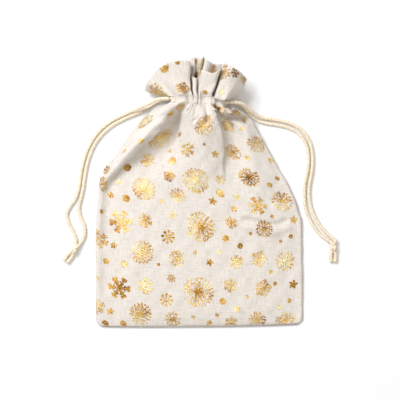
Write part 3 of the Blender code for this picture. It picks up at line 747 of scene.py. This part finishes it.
class Foil:
    """Flat shapes on the cloth, in mm across and up the flat cloth, gathered into one mesh."""

    def __init__(self, seed):
        self.points, self.faces = [], []
        self.random = np.random.default_rng(seed)

    def stroke(self, start, end, start_width, end_width):
        """A straight stroke with an uneven edge and a few gaps."""
        along = end - start
        far = np.linalg.norm(along)
        beside = np.array([-along[1], along[0]]) / far
        parts = max(1, math.ceil(far / STROKE_STEP))
        first = len(self.points)
        for k in range(parts + 1):
            t = k / parts
            half = (start_width + (end_width - start_width) * t) / 2 * self.random.uniform(0.8, 1.15)
            self.points += [start + along * t - beside * half, start + along * t + beside * half]
        for k in range(parts):
            if self.random.random() > STROKE_GAPS:
                n = first + 2 * k
                self.faces.append([n, n + 2, n + 3, n + 1])

    def blob(self, centre, radius_at, sides):
        """A filled shape whose radius depends on the angle."""
        first = len(self.points)
        self.points.append(centre)
        for ring in (0.5, 1.0):
            for k in range(sides):
                angle = 2 * math.pi * k / sides
                reach = radius_at(angle) * ring
                self.points.append(centre + reach * np.array([math.cos(angle), math.sin(angle)]))
        for k in range(sides):
            n = (k + 1) % sides
            self.faces.append([first, first + 1 + k, first + 1 + n])
            inner, outer = first + 1, first + 1 + sides
            self.faces.append([inner + k, outer + k, outer + n, inner + n])

    # Each motif is drawn round the origin

    def dot(self, size, turn):
        self.blob(np.zeros(2), lambda angle: size / 2 * (1 + 0.04 * math.sin(5 * angle + turn)), 14)

    def star(self, size, turn):
        def reach(angle):
            point = abs(((angle - turn) * 5 / (2 * math.pi)) % 1 - 0.5) * 2
            return size / 2 * (0.42 + 0.58 * point**1.4)

        self.blob(np.zeros(2), reach, 20)

    def frost(self, size, turn):
        """A six-armed flake with two pairs of side arms."""
        reach = size / 2
        for _, out, beside in arms(turn, 6):
            self.stroke(np.zeros(2), out * reach, 0.13 * size, 0.08 * size)
            for step in (0.45, 0.74):
                root = out * reach * step
                for sign in (-1, 1):
                    tip = root + (out * 0.75 + beside * sign) * reach * 0.30
                    self.stroke(root, tip, 0.10 * size, 0.07 * size)

    def petals(self, size, turn):
        """A six-armed flake whose arms end in three round lobes."""
        reach = size / 2
        for _, out, beside in arms(turn, 6):
            self.stroke(np.zeros(2), out * reach * 0.66, 0.11 * size, 0.14 * size)
            for sign in (-1, 0, 1):
                lobe = (out * (0.84 if sign else 0.74) + beside * 0.13 * sign) * reach
                self.blob(lobe, lambda a: size * 0.078 * (1 + 0.12 * math.cos(3 * a + sign)), 9)
                root = out * reach * 0.40
                tip = root + (out * 0.6 + beside * sign) * reach * 0.24
                self.stroke(root, tip, 0.09 * size, 0.06 * size)
        self.blob(np.zeros(2), lambda a: size * 0.10, 8)

    def blossom(self, size, turn):
        """Eight short arms, each with a dot at its end."""
        reach = size / 2
        for _, out, _ in arms(turn, 8):
            self.stroke(out * reach * 0.1, out * reach * 0.66, 0.09 * size, 0.10 * size)
            self.blob(out * reach * 0.76, lambda a: size * 0.105, 8)

    def burst(self, size, turn):
        """An open flake of forked arms."""
        reach = size / 2
        line = 0.3 + 0.055 * size
        for k, out, beside in arms(turn, 10):
            long = 1.0 if k % 2 == 0 else 0.78
            self.stroke(np.zeros(2), out * reach * long, line, line * 0.8)
            root = out * reach * long * 0.62
            for sign in (-1, 1):
                tip = root + (out * 0.8 + beside * sign * 0.7) * reach * 0.28
                self.stroke(root, tip, line * 0.9, line * 0.7)

    def lace(self, size, turn):
        """A round, dense snowflake: leaning dashes in rings round a solid middle."""
        reach = size / 2
        line = 0.40 + 0.022 * size
        self.blob(np.zeros(2), lambda a: 0.15 * size * (1 + 0.25 * math.cos(6 * (a - turn))), 18)
        rings = max(2, round(reach / 2.0))
        for ring_number in range(rings):
            inner = reach * (0.3 + 0.7 * ring_number / rings)
            outer = reach * (0.3 + 0.7 * (ring_number + 1) / rings)
            count = 6 * max(1, round(2 * math.pi * (inner + outer) / 2 / (6 * (line + 0.4))))
            for k, out, beside in arms(turn + 0.26 * ring_number, count):
                if self.random.random() < 0.05 + 0.04 * ring_number:
                    continue
                lean = self.random.uniform(-0.22, 0.22) + 0.18 * (-1) ** k
                tip = (out + beside * lean * 0.35) * outer * self.random.uniform(0.94, 1.04)
                self.stroke(out * inner, tip, line * 1.15, line * 0.8)

    def draw(self, kind, at, scale, size, turn):
        """One motif on the flat cloth. Scale is the lying cloth's length over the flat cloth's."""
        first = len(self.points)
        getattr(self, kind)(size, turn)
        for n in range(first, len(self.points)):
            self.points[n] = at + self.points[n] / scale


TURNS = {"petals": 0.0, "star": 1.26, "frost": 0.52}


def motif_turn(kind, random):
    return TURNS.get(kind, 0) + random.uniform(-0.18, 0.18)


def placed_motifs(motifs, ring, columns, random):
    """Where each motif falls on the flat cloth, from where it shows, and the cloth's scale there."""
    first, last = columns
    area = ring[:, first : last + 1]
    found = []
    for kind, x, y, size in motifs:
        away = (area[..., 0] - x) ** 2 + (area[..., 1] - y) ** 2 - 0.05 * area[..., 2]
        i, j = np.unravel_index(away.argmin(), away.shape)
        j = min(max(j, 1), area.shape[1] - 2)
        i = min(max(i, 1), UP - 1)
        along_u = np.linalg.norm(area[i, j + 1] - area[i, j - 1]) / (2 * CELL_U)
        along_v = np.linalg.norm(area[i + 1, j] - area[i - 1, j]) / (2 * CELL_V)
        at = np.array([(first + j) * CELL_U, i * CELL_V])
        found.append((kind, at, np.clip([along_u, along_v], 0.35, 1.2), size, motif_turn(kind, random)))
    return found


def repeated_motifs(columns, random):
    """The plain repeat, across the given columns of the flat cloth."""
    found = []
    for repeat in range(REPEATS):
        for kind, x, y, size in REPEATED:
            across = columns[0] * CELL_U + x - REPEAT_FROM_X + REPEAT_SKEW * (repeat - 1)
            at = np.array([across, y - REPEAT_FROM_Y + repeat * REPEAT_UP])
            found.append((kind, at, np.ones(2), size, motif_turn(kind, random)))
    return found


def print_foil(name, ring, normals, motifs, low_v, high_v, columns, seed, lift, material):
    """The given motifs between two heights of the flat cloth, lifted off it by a hair."""
    foil = Foil(seed)
    for motif in motifs:
        foil.draw(*motif)
    flat = np.array(foil.points)
    first_u, last_u = (c * CELL_U for c in columns)
    inside = (flat[:, 0] > first_u + 0.1) & (flat[:, 0] < last_u - 0.1)
    inside &= (flat[:, 1] > low_v + 0.2) & (flat[:, 1] < high_v - 0.2)
    faces = [f for f in foil.faces if all(inside[n] for n in f)]
    used, faces = renumbered(faces)
    flat = flat[used]
    j = flat[:, 0] / CELL_U
    i = np.clip(flat[:, 1] / CELL_V, 0, UP - 1e-6)
    j0, i0 = np.floor(j).astype(int), np.floor(i).astype(int)
    fj, fi = (j - j0)[:, None], (i - i0)[:, None]

    def read(field):
        near, beside = field[i0, j0 % AROUND], field[i0, (j0 + 1) % AROUND]
        over, corner = field[i0 + 1, j0 % AROUND], field[i0 + 1, (j0 + 1) % AROUND]
        return (near * (1 - fj) + beside * fj) * (1 - fi) + (over * (1 - fj) + corner * fj) * fi

    if lift < 0:
        faces = [f[::-1] for f in faces]
    return make_mesh(name, read(ring) + unit(read(normals)) * lift, faces, material, flat)


# ---- cords, knots and stitches


def frames_along(path):
    """A direction and two sides at each point, turning as little as they can."""
    along = unit(np.gradient(path, axis=0))
    side = np.cross(along[0], [0, 0, 1.0])
    if np.linalg.norm(side) < 0.1:
        side = np.cross(along[0], [0, 1.0, 0])
    sides = [unit(side)]
    for direction in along[1:]:
        last = sides[-1]
        sides.append(unit(last - direction * (last @ direction)))
    sides = np.array(sides)
    return along, sides, np.cross(along, sides)


def circle(centre, radius, beside, over, angles):
    return centre + radius * (np.cos(angles)[:, None] * beside + np.sin(angles)[:, None] * over)


def tube_faces(count, sides, first=0):
    """The faces of an open tube through a count of rings of points, and of its two ends."""
    faces = []
    for n in range(first, first + (count - 1) * sides, sides):
        for a in range(sides):
            b = (a + 1) % sides
            faces.append([n + a, n + b, n + sides + b, n + sides + a])
    last = first + (count - 1) * sides
    faces.append([first + a for a in range(sides)][::-1])
    faces.append([last + a for a in range(sides)])
    return faces


def twisted_tube(name, path, material, radius=CORD_DIAMETER / 2, closed=False, flare=0.0):
    """A cord of plies twisted round each other along a path."""
    _, beside, over = frames_along(path)
    along = distances(path)
    angles = 2 * math.pi * np.arange(CORD_SIDES) / CORD_SIDES
    end = len(path) - 1
    rings = []
    for k, point in enumerate(path):
        lobes = np.abs(np.cos(PLIES * (angles - 2 * math.pi * along[k] / PLY_PITCH) / 2))
        r = radius * (0.80 + 0.22 * lobes) * (1 + flare * (k / end) ** 2)
        if not closed and k in (0, end):
            r = r * 0.75
        rings.append(circle(point, r[:, None], beside[k], over[k], angles))
    faces = tube_faces(len(path), CORD_SIDES)
    if closed:
        nearest = int(np.linalg.norm(rings[0] - rings[-1][0], axis=1).argmin())
        last = end * CORD_SIDES
        del faces[-2:]
        for a in range(CORD_SIDES):
            b = (a + 1) % CORD_SIDES
            faces.append([last + a, last + b, (b + nearest) % CORD_SIDES, (a + nearest) % CORD_SIDES])
    return make_mesh(name, np.concatenate(rings), faces, material)


def join_to(piece, extra):
    """Add another mesh to a piece, with the same material, and delete the extra object."""
    both = bmesh.new()
    for part in (piece, extra):
        both.from_mesh(part.data)
    both.to_mesh(piece.data)
    both.free()
    piece.data.polygons.foreach_set("use_smooth", [True] * len(piece.data.polygons))
    bpy.data.objects.remove(extra)


def knot_path(centre, heading):
    """A trefoil, drawn up small and long."""
    t = np.linspace(0, 2 * math.pi, 90, endpoint=False)
    x = KNOT_LENGTH_SCALE * (np.sin(t) + 2 * np.sin(2 * t))
    y = KNOT_WIDTH_SCALE * (np.cos(t) - 2 * np.cos(2 * t))
    z = -KNOT_HEIGHT_SCALE * np.sin(3 * t)
    c, s = math.cos(heading), math.sin(heading)
    return np.array(centre) + np.stack([c * x - s * y, s * x + c * y, z], 1)


def build_knot(side, cotton):
    """A knot, with a short lead-in from the end of each tail."""
    centre, degrees = KNOTS[side]
    path = knot_path(centre, math.radians(degrees))
    knot = twisted_tube(f"{side}_tied_knot", path, cotton, radius=KNOT_RADIUS, closed=True)
    for end in ("front", "back"):
        before, last = np.array(TAIL_ROUTES[f"{side}_tail_{end}"][-2:])
        onward = (last - before) / np.linalg.norm(last - before)
        inward = (last + np.array(centre)) / 2 + 0.4 * onward
        lead = spline([last - 0.2 * onward, last + 1.1 * onward, inward, centre], 16)
        join_to(knot, twisted_tube("lead", lead, cotton))
    assign(knot, f"{side}_drawstring", "cotton_cord", f"{side}_knot")
    return knot


def build_tail(side, end, cotton):
    name = f"{side}_tail_{end}"
    count = round(length_of(spline(TAIL_ROUTES[name], 200)) / STRAND_STEP)
    path = spline(TAIL_ROUTES[name], count)
    tail = twisted_tube(f"{side}_{end}_cord", path, cotton)
    assign(tail, f"{side}_drawstring", "cotton_cord", name)


def build_cut_end(side, end, sign, cotton):
    """A cut end, from inside the knot down to the floor."""
    centre, degrees = KNOTS[side]
    heading = math.radians(degrees)
    along = np.array([math.cos(heading), math.sin(heading), 0])
    beside = np.array([-along[1], along[0], 0]) * sign
    start = np.array(centre) + along * 1.2 + beside * 0.7
    start[2] = CUT_END_START_Z
    tip = start + along * CUT_END_LENGTH + beside * 0.55
    tip[2] = CUT_END_TIP_Z
    bend = (start + tip) / 2 + beside * 0.45
    bend[2] = CUT_END_BEND_Z
    path = spline([start, bend, tip], 28)
    cut = twisted_tube(f"{side}_frayed_end_{end}", path, cotton, flare=CUT_END_FLARE)
    assign(cut, f"{side}_drawstring", "cotton_cord", f"{side}_cut_end_{end}")


def build_held_cord(side, out, cotton):
    """The cord inside the channel, from one exit round its bight and back."""
    start, turn = out * HELD_X, -out * BIGHT_X
    half = (FRONT_CORD_Z - BACK_CORD_Z) / 2
    middle = (FRONT_CORD_Z + BACK_CORD_Z) / 2
    y = CORD_Y[side]
    route = [(start + (turn - start) * k / 6, y, FRONT_CORD_Z) for k in range(7)]
    for k in range(1, 6):
        angle = math.pi * k / 6
        route.append((turn - out * 2.6 * math.sin(angle), y, middle + half * math.cos(angle)))
    route += [(turn + (start - turn) * k / 6, y, BACK_CORD_Z) for k in range(7)]
    loop = twisted_tube(f"{side}_held_cord", spline(route, 190), cotton)
    assign(loop, f"{side}_drawstring", "cotton_cord", f"{side}_drawstring_loop")


def build_cords(cotton):
    for side, out in (("left", -1), ("right", 1)):
        knot = build_knot(side, cotton)
        for end in ("front", "back"):
            build_tail(side, end, cotton)
        for end, sign in (("a", 1), ("b", -1)):
            build_cut_end(side, end, sign, cotton)
        build_held_cord(side, out, cotton)


def build_stitches(ring, normals, thread):
    """Two rows of running stitches on each half of the channel."""
    angles = 2 * math.pi * np.arange(STITCH_SIDES) / STITCH_SIDES
    for half, first in (("front", 0), ("back", ACROSS)):
        for row, offset in (("lower", -CHANNEL_HALF), ("upper", CHANNEL_HALF)):
            i = round((CHANNEL_V + offset) / CELL_V)
            points, faces = [], []
            for start in range(first + 3, first + ACROSS - 4, STITCH_PITCH):
                span = [start, start + 1, start + 2]
                line = ring[i, span] + normals[i, span] * STITCH_LIFT
                _, beside, over = frames_along(line)
                faces += tube_faces(3, STITCH_SIDES, len(points))
                for k, thin in enumerate((0.75, 1.0, 0.75)):
                    points.extend(circle(line[k], STITCH_RADIUS * thin, beside[k], over[k], angles))
            stitches = make_mesh(f"{half}_{row}_stitches", points, faces, thread)
            assign(stitches, "sack", "sewing_thread", f"{half}_channel_{row}_stitching")


def build_allowance(seam, ring, rows, columns, linen):
    """The turned-in allowance of a seam, half way between the front and the back."""
    points = [(ring[i, j] + ring[i, (AROUND - j) % AROUND]) / 2 for i in rows for j in columns]
    wide = len(columns)
    faces = []
    for n in range((len(rows) - 1) * wide):
        if (n + 1) % wide:
            faces.append([n, n + 1, n + wide + 1, n + wide])
    strip = make_mesh(seam.replace("seam", "allowance"), points, faces, linen)
    thicken(strip, ALLOWANCE_THICKNESS, 0)
    assign(strip, "sack", "linen_cloth", seam)


def build_allowances(ring, linen):
    side_rows = range(6, round(ALLOWANCE_TOP_V / CELL_V), 2)
    build_allowance("left_side_seam", ring, side_rows, range(2, 7), linen)
    build_allowance("right_side_seam", ring, side_rows, range(ACROSS - 6, ACROSS - 1), linen)
    build_allowance("bottom_seam", ring, range(3, 7), range(8, ACROSS - 7, 2), linen)


# ---- materials


def new_material(name):
    material = bpy.data.materials.new(name)
    material.use_nodes = True
    tree = material.node_tree
    return material, tree, tree.nodes["Principled BSDF"]


def add(tree, kind, **values):
    node = tree.nodes.new(kind)
    for key, value in values.items():
        if key in node.inputs:
            node.inputs[key].default_value = value
        else:
            setattr(node, key, value)
    return node


def worked_out(tree, operation, *values):
    """The output of a Math node, whose inputs are numbers or other nodes' outputs."""
    node = add(tree, "ShaderNodeMath", operation=operation)
    for socket, value in zip(node.inputs, values):
        if isinstance(value, float):
            socket.default_value = value
        else:
            tree.links.new(value, socket)
    return node.outputs[0]


def noise_on(tree, vector, scale, detail, roughness):
    node = add(tree, "ShaderNodeTexNoise", Scale=scale, Detail=detail, Roughness=roughness)
    tree.links.new(vector, node.inputs["Vector"])
    return node.outputs[0]


def colour_by(tree, shader, source, stops):
    """The shader's colour, from a ramp of places and colours."""
    node = tree.nodes.new("ShaderNodeValToRGB")
    elements = node.color_ramp.elements
    while len(elements) < len(stops):
        elements.new(0.5)
    for element, (place, colour) in zip(elements, stops):
        element.position = place
        element.color = (*colour, 1)
    tree.links.new(source, node.inputs[0])
    tree.links.new(node.outputs[0], shader.inputs["Base Color"])


def roughen(tree, shader, height, strength, distance):
    node = add(tree, "ShaderNodeBump", Strength=strength, Distance=distance)
    tree.links.new(height, node.inputs["Height"])
    tree.links.new(node.outputs[0], shader.inputs["Normal"])


def linen_material():
    """A plain weave with slubs along both threads."""
    material, tree, shader = new_material("linen_cloth")
    uv = tree.nodes.new("ShaderNodeUVMap").outputs[0]
    slubs, waves = [], []
    for scale, direction in (((0.16, 2.6, 1), "X"), ((2.6, 0.16, 1), "Y")):
        mapping = add(tree, "ShaderNodeMapping", Scale=scale)
        tree.links.new(uv, mapping.inputs[0])
        slubs.append(noise_on(tree, mapping.outputs[0], 1.0, 3.0, 0.6))
        wave = add(tree, "ShaderNodeTexWave", Scale=0.32, Distortion=0.6, bands_direction=direction)
        tree.links.new(uv, wave.inputs["Vector"])
        waves.append(wave.outputs[1])
    slub = worked_out(tree, "MULTIPLY", worked_out(tree, "ADD", *slubs), 0.5)
    tones = [(0.36, (0.575, 0.52, 0.455)), (0.5, (0.714, 0.66, 0.60)), (0.64, (0.80, 0.755, 0.70))]
    colour_by(tree, shader, slub, tones)
    weave = worked_out(tree, "MULTIPLY", *waves)
    roughen(tree, shader, worked_out(tree, "ADD", weave, slub), 0.35, 0.00025)
    shader.inputs["Roughness"].default_value = 0.92
    shader.inputs["Sheen Weight"].default_value = 0.15
    shader.inputs["Sheen Roughness"].default_value = 0.6
    return material


def foil_material():
    """Crackled foil, with painted glints and painted dark reflections in its colour: broad patches paint
    some motifs glinting and others dull.
    """
    material, tree, shader = new_material("gold_foil")
    uv = tree.nodes.new("ShaderNodeUVMap").outputs[0]
    # Painted glints: broad patches, about a motif across, make some motifs pale and glinting and others
    # dark and dull, standing in for how each one catches the light.
    glint_patches = noise_on(tree, uv, 0.06, 2.0, 0.5)
    # The crackle is the foil's real texture in the roughness and bump, and it also paints small bright and
    # dark flecks of reflection into the colour.
    crackle_and_glints = noise_on(tree, uv, 1.25, 3.0, 0.75)
    part = worked_out(tree, "MULTIPLY_ADD", glint_patches, 0.60, -0.062)
    # The ramp runs from a painted dark reflection in near-black brown, through the foil's own gold, to a
    # painted pale glint.
    tones = [
        (0.36, (0.12, 0.055, 0.015)), (0.43, (0.46, 0.23, 0.055)), (0.49, (0.74, 0.43, 0.12)),
        (0.56, (0.94, 0.72, 0.29)), (0.65, (1.0, 0.94, 0.63)),
    ]
    colour_by(tree, shader, worked_out(tree, "MULTIPLY_ADD", crackle_and_glints, 0.55, part), tones)
    rough = add(tree, "ShaderNodeMapRange")
    rough.inputs["To Min"].default_value = 0.22
    rough.inputs["To Max"].default_value = 0.5
    tree.links.new(crackle_and_glints, rough.inputs[0])
    tree.links.new(rough.outputs[0], shader.inputs["Roughness"])
    roughen(tree, shader, crackle_and_glints, 0.9, 0.0006)
    shader.inputs["Metallic"].default_value = 1.0
    return material


def fibre_material(name, dark, light, scale):
    material, tree, shader = new_material(name)
    place = tree.nodes.new("ShaderNodeTexCoord").outputs["Object"]
    noise = noise_on(tree, place, scale, 4.0, 0.7)
    colour_by(tree, shader, noise, [(0.35, dark), (0.65, light)])
    roughen(tree, shader, noise, 0.5, 0.0001)
    shader.inputs["Roughness"].default_value = 0.85
    shader.inputs["Sheen Weight"].default_value = 0.2
    return material


# ---- stage


def build_camera():
    camera = bpy.data.cameras.new("camera")
    camera.sensor_width = SENSOR_WIDTH
    camera.lens = SENSOR_WIDTH * CAMERA_HEIGHT / SEEN_WIDTH
    camera.clip_end = 10
    eye = bpy.data.objects.new("camera", camera)
    eye.location = (VIEW_X, VIEW_Y, CAMERA_HEIGHT)
    bpy.context.scene.collection.objects.link(eye)
    bpy.context.scene.camera = eye


def build_table():
    material, _, shader = new_material("white_table")
    shader.inputs["Base Color"].default_value = TABLE_COLOUR
    shader.inputs["Roughness"].default_value = 0.9
    shader.inputs["Emission Color"].default_value = TABLE_GLOW
    shader.inputs["Emission Strength"].default_value = 0.03
    bpy.ops.mesh.primitive_plane_add(size=6, location=(0, 0, -0.0001))
    floor = bpy.context.object
    floor.name = "table"
    floor.data.materials.append(material)


def build_light():
    """A soft key from the upper left, and a sky that is brighter overhead than at the horizon."""
    world = bpy.data.worlds.new("world")
    world.use_nodes = True
    tree = world.node_tree
    sky = tree.nodes["Background"]
    sky.inputs[0].default_value = SKY_COLOUR
    place = tree.nodes.new("ShaderNodeTexCoord")
    split = tree.nodes.new("ShaderNodeSeparateXYZ")
    fill = tree.nodes.new("ShaderNodeMapRange")
    fill.inputs["From Min"].default_value = 0.1
    fill.inputs["From Max"].default_value = 0.6
    fill.inputs["To Min"].default_value = HORIZON_FILL
    fill.inputs["To Max"].default_value = OVERHEAD_FILL
    tree.links.new(place.outputs["Generated"], split.inputs[0])
    tree.links.new(split.outputs["Z"], fill.inputs[0])
    tree.links.new(fill.outputs[0], sky.inputs[1])
    bpy.context.scene.world = world
    lamp = bpy.data.lights.new("key", "AREA")
    lamp.energy = KEY_POWER
    lamp.color = KEY_COLOUR
    lamp.size = KEY_SIZE
    key = bpy.data.objects.new("key", lamp)
    key.location = KEY_PLACE
    key.rotation_euler = (-key.location).to_track_quat("-Z", "Y").to_euler()
    bpy.context.scene.collection.objects.link(key)
    bpy.context.scene.view_settings.view_transform = "Standard"


# ---- the sack


def build_cloth(ring, linen):
    header_row = round(HEADER_V / CELL_V)
    body_cloth = cloth_piece("body_cloth", ring, 0, header_row, (0, AROUND), linen)
    assign(body_cloth, "sack", "linen_cloth", "front_panel", "back_panel", "front_channel", "back_channel")
    front_frill = cloth_piece("front_frill_cloth", ring, header_row, UP, (0, ACROSS), linen)
    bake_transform(front_frill)
    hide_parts("front_frill")
    back_frill = cloth_piece("back_frill_cloth", ring, header_row, UP, (ACROSS, AROUND), linen)
    assign(back_frill, "sack", "linen_cloth", "back_frill")


def build_prints(ring, normals, foil):
    random = np.random.default_rng(TURN_SEED)
    front, back = (0, ACROSS), (ACROSS, AROUND)
    shown = placed_motifs(FRONT_PRINT, ring, front, random)
    hidden = repeated_motifs(back, random)
    inner = placed_motifs(INNER_PRINT, ring, back, random)
    prints = [
        ("front_print", shown, 0.5, HEADER_V, front, FOIL_LIFT),
        ("back_print", hidden, 0.5, HEADER_V, back, FOIL_LIFT),
        ("front_frill_print", shown, HEADER_V, CUT_HEIGHT, front, FOIL_LIFT),
        ("back_frill_print", hidden, HEADER_V, CUT_HEIGHT, back, FOIL_LIFT),
        ("inner_frill_print", inner, HEADER_V, CUT_HEIGHT, back, -CLOTH_THICKNESS - FOIL_LIFT),
    ]
    for seed, (name, motifs, low_v, high_v, columns, lift) in enumerate(prints, FOIL_SEED):
        piece = print_foil(name, ring, normals, motifs, low_v, high_v, columns, seed, lift, foil)
        if name == "front_frill_print":
            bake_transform(piece)
        else:
            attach(piece, "sack")


def colour_exit_tacks(frame, thread):
    """The tacks stay the CAD's own solids."""
    for node in ("left_exit_tack", "right_exit_tack"):
        materials = frame["nodes"][node].data.materials
        materials.clear()
        materials.append(thread)


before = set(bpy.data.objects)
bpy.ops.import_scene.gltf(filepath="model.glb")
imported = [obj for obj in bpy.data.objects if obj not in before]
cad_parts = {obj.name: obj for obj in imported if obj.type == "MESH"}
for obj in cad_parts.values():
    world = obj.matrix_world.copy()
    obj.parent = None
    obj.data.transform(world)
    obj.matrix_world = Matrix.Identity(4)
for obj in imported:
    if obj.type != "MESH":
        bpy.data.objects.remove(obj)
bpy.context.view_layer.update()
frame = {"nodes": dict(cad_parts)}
build_camera()
build_table()
build_light()

linen = linen_material()
foil = foil_material()
cotton = fibre_material("cotton_cord", (0.68, 0.55, 0.38), (0.93, 0.84, 0.68), 900)
thread = fibre_material("sewing_thread", (0.7, 0.66, 0.6), (0.86, 0.83, 0.78), 1500)

build_cords(cotton)

ring, held = start_shape()
ring = settle(ring, held)
ring = soften(ring, held)
ring = crumple(ring, normals_of(ring))
normals = normals_of(ring)

build_cloth(ring, linen)
build_prints(ring, normals, foil)
build_stitches(ring, normals, thread)
build_allowances(ring, linen)
colour_exit_tacks(frame, thread)
